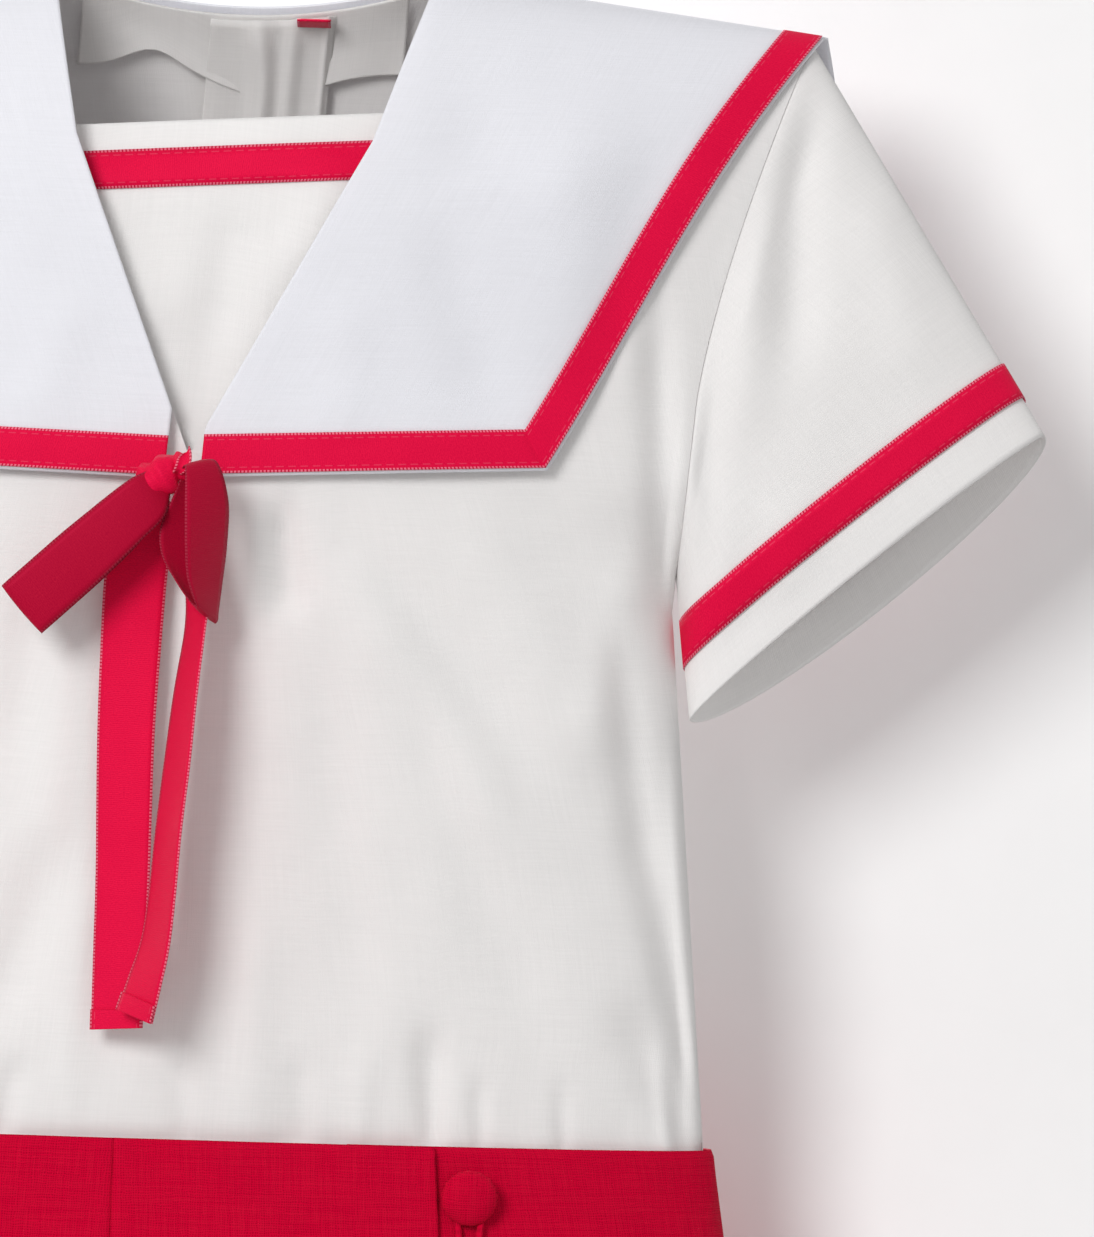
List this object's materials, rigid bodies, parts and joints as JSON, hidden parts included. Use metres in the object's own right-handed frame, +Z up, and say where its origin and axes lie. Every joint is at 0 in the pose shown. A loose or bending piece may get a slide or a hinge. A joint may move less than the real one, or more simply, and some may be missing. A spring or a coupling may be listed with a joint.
{
  "type": "cheer uniform",
  "caption": "Child's sailor-collar cheer uniform: white short-sleeved top with ribbon trim and bow, over a red panelled skirt with covered buttons.",
  "frame": {"origin": "where the hanger's neck meets the shoulder line, in the middle of the neck opening", "axes": "+Z up, the front faces -Y, +X towards the viewer's right when the front is seen"},
  "size_m": [0.4339, 0.1191, 0.4637],
  "materials": {
    "white_cotton": "plain-woven white cotton poplin, matt",
    "red_satin_ribbon": "red polyester satin ribbon with stitched edges, soft sheen",
    "red_linen": "red plain-woven linen with slubs, matt",
    "white_button": "pearly white four-hole shirt button"
  },
  "bodies": {
    "bodice": {"bodice_front": "white_cotton", "bodice_back_left": "white_cotton", "bodice_back_right": "white_cotton", "back_placket_facing": "white_cotton", "back_neck_facing": "white_cotton", "dickey": "white_cotton", "dickey_ribbon": "red_satin_ribbon", "skirt_side_left": "red_linen", "skirt_side_right": "red_linen", "bow_knot": "red_satin_ribbon", "bow_anchor": "red_satin_ribbon", "back_button_1": "white_button", "back_button_2": "white_button", "back_button_3": "white_button", "back_button_4": "white_button", "front_button_left": "red_linen", "front_loop_left": "red_linen", "front_button_right": "red_linen", "front_loop_right": "red_linen", "back_button_left": "red_linen", "back_loop_left": "red_linen", "back_button_right": "red_linen", "back_loop_right": "red_linen"},
    "sleeve_left": {"sleeve_left": "white_cotton", "sleeve_ribbon_left": "red_satin_ribbon"},
    "sleeve_right": {"sleeve_right": "white_cotton", "sleeve_ribbon_right": "red_satin_ribbon"},
    "collar_left": {"collar_front_left": "white_cotton", "collar_ribbon_left": "red_satin_ribbon"},
    "collar_right": {"collar_front_right": "white_cotton", "collar_ribbon_right": "red_satin_ribbon"},
    "collar_back": {"collar_back": "white_cotton", "collar_ribbon_back": "red_satin_ribbon"},
    "skirt_front": {"skirt_front_left": "red_linen", "skirt_front_right": "red_linen"},
    "skirt_back": {"skirt_back_left": "red_linen", "skirt_back_right": "red_linen"},
    "bow_loop_left": {"bow_loop_left": "red_satin_ribbon"},
    "bow_loop_right": {"bow_loop_right": "red_satin_ribbon"},
    "bow_tail_left": {"bow_tail_left": "red_satin_ribbon"},
    "bow_tail_right": {"bow_tail_right": "red_satin_ribbon"},
    "hang_loop": {"hang_loop": "red_satin_ribbon"}
  },
  "joints": [
    {"name": "sleeve_right_lift", "type": "hinge", "parent": "bodice", "child": "sleeve_right", "pos_m": [0.14645, 0, -0.0145], "axis": [0, -1, 0], "range_deg": [0, 30]},
    {"name": "sleeve_left_lift", "type": "hinge", "parent": "bodice", "child": "sleeve_left", "pos_m": [-0.14875, 0, -0.0145], "axis": [0, 1, 0], "range_deg": [0, 30]},
    {"name": "collar_right_lift", "type": "hinge", "parent": "bodice", "child": "collar_right", "pos_m": [-0.0063, -0.0355, -0.124], "axis": [-0.3762, -0.2491, -0.8924], "range_deg": [0, 45]},
    {"name": "collar_left_lift", "type": "hinge", "parent": "bodice", "child": "collar_left", "pos_m": [-0.0133, -0.0355, -0.124], "axis": [-0.2459, 0.2599, 0.9338], "range_deg": [0, 45]},
    {"name": "collar_back_flip", "type": "hinge", "parent": "bodice", "child": "collar_back", "pos_m": [0, 0, 0.0032], "axis": [1, 0, 0], "range_deg": [0, 110]},
    {"name": "skirt_front_flare", "type": "hinge", "parent": "bodice", "child": "skirt_front", "pos_m": [-0.02338, -0.0324, -0.296], "axis": [-1, 0, 0], "range_deg": [0, 50]},
    {"name": "skirt_back_flare", "type": "hinge", "parent": "bodice", "child": "skirt_back", "pos_m": [-0.02338, 0.0324, -0.296], "axis": [1, 0, 0], "range_deg": [0, 50]},
    {"name": "bow_loop_left_lift", "type": "hinge", "parent": "bodice", "child": "bow_loop_left", "pos_m": [-0.01617, -0.049, -0.13], "axis": [-1, 0, 0], "range_deg": [0, 60]},
    {"name": "bow_loop_right_lift", "type": "hinge", "parent": "bodice", "child": "bow_loop_right", "pos_m": [-0.01617, -0.049, -0.13], "axis": [-1, 0, 0], "range_deg": [0, 60]},
    {"name": "bow_tail_left_sway", "type": "hinge", "parent": "bodice", "child": "bow_tail_left", "pos_m": [-0.01617, -0.049, -0.13], "axis": [0, 1, 0], "range_deg": [-20, 20]},
    {"name": "bow_tail_right_sway", "type": "hinge", "parent": "bodice", "child": "bow_tail_right", "pos_m": [-0.01617, -0.049, -0.13], "axis": [0, 1, 0], "range_deg": [-15, 20]},
    {"name": "hang_loop_flip", "type": "hinge", "parent": "bodice", "child": "hang_loop", "pos_m": [0.0173, 0.0121, -0.0097], "axis": [-1, 0, 0], "range_deg": [0, 30]}
  ]
}
